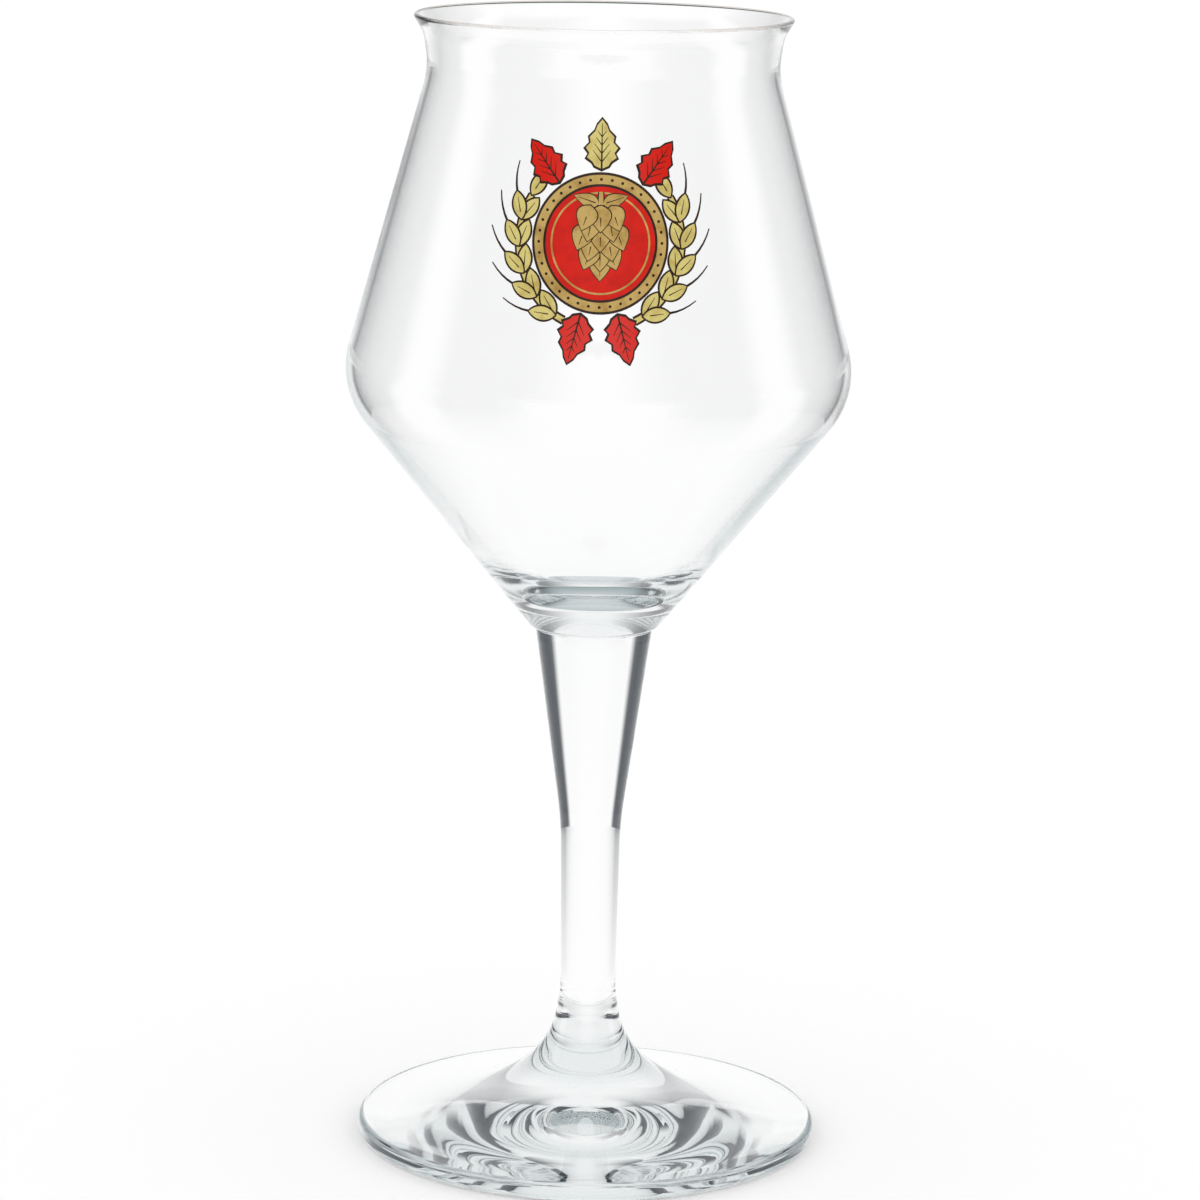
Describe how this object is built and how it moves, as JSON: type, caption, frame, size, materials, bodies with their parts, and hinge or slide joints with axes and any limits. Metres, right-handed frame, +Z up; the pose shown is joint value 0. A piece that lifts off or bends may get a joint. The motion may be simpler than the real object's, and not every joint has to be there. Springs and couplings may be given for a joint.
{
  "type": "stemmed beer glass",
  "caption": "Clear stemmed beer tasting glass: angular bowl with drawn-in neck and flared lip, slim tapered stem, round foot, and a fired enamel hop and barley emblem on the front.",
  "frame": {"origin": "on the table, under the middle of the foot", "axes": "+Z up along the axis of the glass; the enamel emblem faces -Y"},
  "size_m": [0.0948, 0.0948, 0.215],
  "materials": {
    "clear_glass": "clear fire-polished glass, faintly grey-green where it is thick",
    "red_enamel": "glossy fired ceramic enamel, warm red",
    "gold_enamel": "glossy fired ceramic enamel, old gold",
    "straw_enamel": "glossy fired ceramic enamel, straw yellow",
    "dark_enamel": "glossy fired ceramic enamel, brown black"
  },
  "bodies": {
    "root": {"bowl": "clear_glass", "enamel_barley_left": "straw_enamel", "enamel_barley_left_line": "dark_enamel", "enamel_barley_right": "straw_enamel", "enamel_barley_right_line": "dark_enamel", "enamel_hop": "gold_enamel", "enamel_hop_line": "dark_enamel", "enamel_low_leaf_left": "red_enamel", "enamel_low_leaf_left_line": "dark_enamel", "enamel_low_leaf_right": "red_enamel", "enamel_low_leaf_right_line": "dark_enamel", "enamel_ring": "gold_enamel", "enamel_ring_line": "dark_enamel", "enamel_roundel": "red_enamel", "enamel_roundel_line": "dark_enamel", "enamel_top_leaf": "straw_enamel", "enamel_top_leaf_left": "red_enamel", "enamel_top_leaf_left_line": "dark_enamel", "enamel_top_leaf_line": "dark_enamel", "enamel_top_leaf_right": "red_enamel", "enamel_top_leaf_right_line": "dark_enamel", "foot": "clear_glass", "stem": "clear_glass"}
  },
  "joints": []
}
